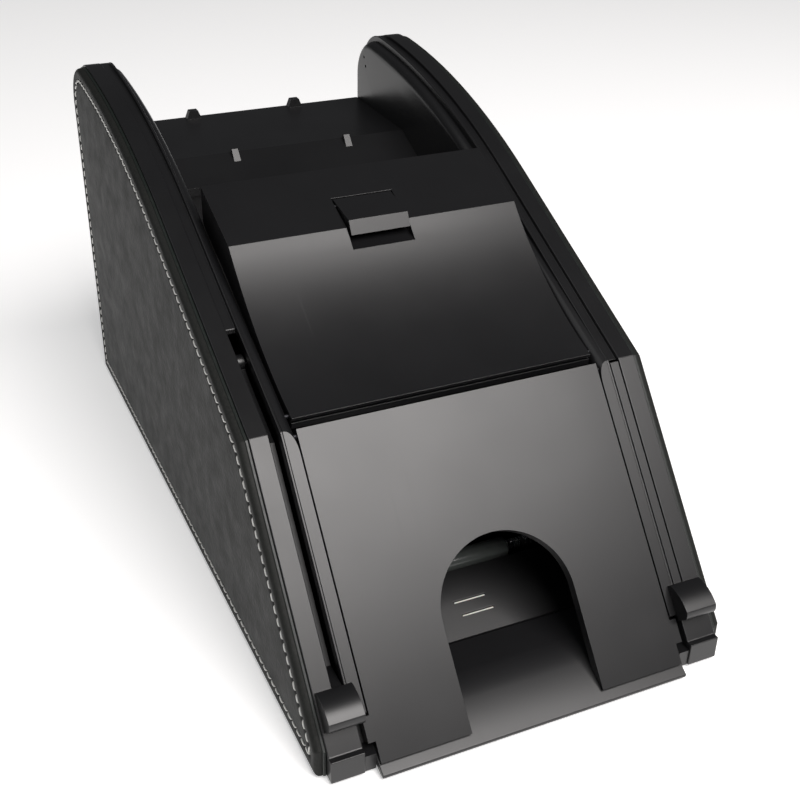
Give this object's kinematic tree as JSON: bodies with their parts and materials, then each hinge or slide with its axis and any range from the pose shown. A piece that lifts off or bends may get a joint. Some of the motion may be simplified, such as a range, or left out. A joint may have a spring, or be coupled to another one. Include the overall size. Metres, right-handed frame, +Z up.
{
  "type": "automatic card shuffler",
  "caption": "Card shuffler with a dealing-shoe front: leather-sided wings, hinged front plate with arched finger cut-out, latched lid, open hopper.",
  "frame": {"origin": "middle of the footprint, on the surface that the rubber feet stand on", "axes": "+Z up, +Y towards the rear, +X to the right seen from the front"},
  "size_m": [0.135, 0.262, 0.1353],
  "materials": {
    "housing_plastic": "fine satin moulding texture",
    "satin_plastic": "satin",
    "gloss_plastic": "polished",
    "leather": "grained, with light saddle stitching",
    "board": "plain board edge",
    "rubber": "matt",
    "tyre_rubber": "matt, ground",
    "roller_grey": "smooth dark grey, polished by the cards",
    "bronze": "sintered",
    "motor_steel": "plated",
    "steel": "bright",
    "black_steel": "blackened",
    "gear_nylon": "natural nylon",
    "circuit_green": "lacquered board",
    "component_black": "moulded"
  },
  "bodies": {
    "housing": {"base_pan": "housing_plastic", "delivery_tray": "gloss_plastic", "ramp_plate": "housing_plastic", "card_tray": "housing_plastic", "inner_side_plate_left": "satin_plastic", "inner_side_plate_right": "satin_plastic", "side_housing_left": "housing_plastic", "side_housing_right": "housing_plastic", "backing_board_left": "board", "backing_board_right": "board", "leather_panel_left": "leather", "leather_panel_right": "leather", "rear_deck": "housing_plastic", "rear_panel": "housing_plastic", "front_plate_pins": "black_steel", "lid_hinge_pins": "black_steel", "catch_pins": "black_steel", "shaft_bushes": "bronze", "idler_pins": "steel", "motor": "motor_steel", "motor_bracket": "steel", "motor_screws": "steel", "circuit_board": "circuit_green", "board_components": "component_black", "card_sensor": "gear_nylon", "power_inlet": "housing_plastic", "switch_frame": "housing_plastic", "tie_rods": "steel", "rubber_feet": "rubber", "rear_panel_screws": "steel", "side_screws": "steel"},
    "front_plate": {"front_plate": "satin_plastic"},
    "lid": {"lid": "satin_plastic", "latch_pin": "black_steel"},
    "latch_tab": {"latch_tab": "satin_plastic"},
    "catch_left": {"catch_lever_left": "housing_plastic"},
    "catch_right": {"catch_lever_right": "housing_plastic"},
    "delivery_rotor": {"delivery_shaft": "steel", "delivery_roller": "roller_grey", "delivery_gear": "gear_nylon"},
    "front_feed_rotor": {"front_feed_shaft": "steel", "front_feed_tyres": "tyre_rubber", "front_feed_gear": "gear_nylon"},
    "rear_feed_rotor": {"rear_feed_shaft": "steel", "rear_feed_tyres": "tyre_rubber", "rear_feed_gear": "gear_nylon"},
    "front_idler": {"front_idler_gear": "gear_nylon"},
    "rear_idler": {"rear_idler_gear": "gear_nylon"},
    "motor_rotor": {"motor_shaft": "steel", "motor_pinion": "gear_nylon"},
    "power_switch": {"switch_rocker": "housing_plastic"}
  },
  "joints": [
    {"name": "front_plate_hinge", "type": "hinge", "parent": "housing", "child": "front_plate", "pos_m": [0, -0.0665, 0.07492], "axis": [-1, 0, 0], "range_deg": [0, 70]},
    {"name": "lid_hinge", "type": "hinge", "parent": "housing", "child": "lid", "pos_m": [0, -0.06, 0.078], "axis": [1, 0, 0], "range_deg": [0, 95]},
    {"name": "latch_hinge", "type": "hinge", "parent": "lid", "child": "latch_tab", "pos_m": [0, 0.0016, 0.1135], "axis": [-1, 0, 0], "range_deg": [0, 15], "stiffness_Nm_per_rad": 0.01, "springref_deg": -11.46},
    {"name": "catch_left_hinge", "type": "hinge", "parent": "housing", "child": "catch_left", "pos_m": [0, -0.035, 0.08415], "axis": [-1, 0, 0], "range_deg": [0, 3], "stiffness_Nm_per_rad": 0.05, "springref_deg": -5.73},
    {"name": "catch_right_hinge", "type": "hinge", "parent": "housing", "child": "catch_right", "pos_m": [0, -0.035, 0.08415], "axis": [-1, 0, 0], "range_deg": [0, 3], "stiffness_Nm_per_rad": 0.05, "springref_deg": -5.73},
    {"name": "front_feed_spin", "type": "hinge", "parent": "housing", "child": "front_feed_rotor", "pos_m": [0, -0.02483, 0.03013], "axis": [1, 0, 0], "continuous": true},
    {"name": "rear_feed_spin", "type": "hinge", "parent": "housing", "child": "rear_feed_rotor", "pos_m": [0, 0.02592, 0.0486], "axis": [1, 0, 0], "continuous": true},
    {"name": "delivery_spin", "type": "hinge", "parent": "housing", "child": "delivery_rotor", "pos_m": [0, -0.071, 0.01798], "axis": [1, 0, 0], "continuous": true},
    {"name": "front_idler_spin", "type": "hinge", "parent": "housing", "child": "front_idler", "pos_m": [0, -0.0502, 0.0209], "axis": [1, 0, 0], "continuous": true},
    {"name": "rear_idler_spin", "type": "hinge", "parent": "housing", "child": "rear_idler", "pos_m": [0, 0.00054, 0.03937], "axis": [1, 0, 0], "continuous": true},
    {"name": "motor_spin", "type": "hinge", "parent": "housing", "child": "motor_rotor", "pos_m": [0, 0.042, 0.0351], "axis": [1, 0, 0], "continuous": true},
    {"name": "switch_rock", "type": "hinge", "parent": "housing", "child": "power_switch", "pos_m": [-0.028, 0.1254, 0.06], "axis": [-1, 0, 0], "range_deg": [0, 16]}
  ],
  "couplings": [
    {"joint": "rear_feed_spin", "follows": "front_feed_spin", "ratio": 1},
    {"joint": "delivery_spin", "follows": "front_feed_spin", "ratio": 1.6667},
    {"joint": "front_idler_spin", "follows": "front_feed_spin", "ratio": -1.25},
    {"joint": "rear_idler_spin", "follows": "front_feed_spin", "ratio": -1.25},
    {"joint": "motor_spin", "follows": "front_feed_spin", "ratio": -2.5}
  ]
}
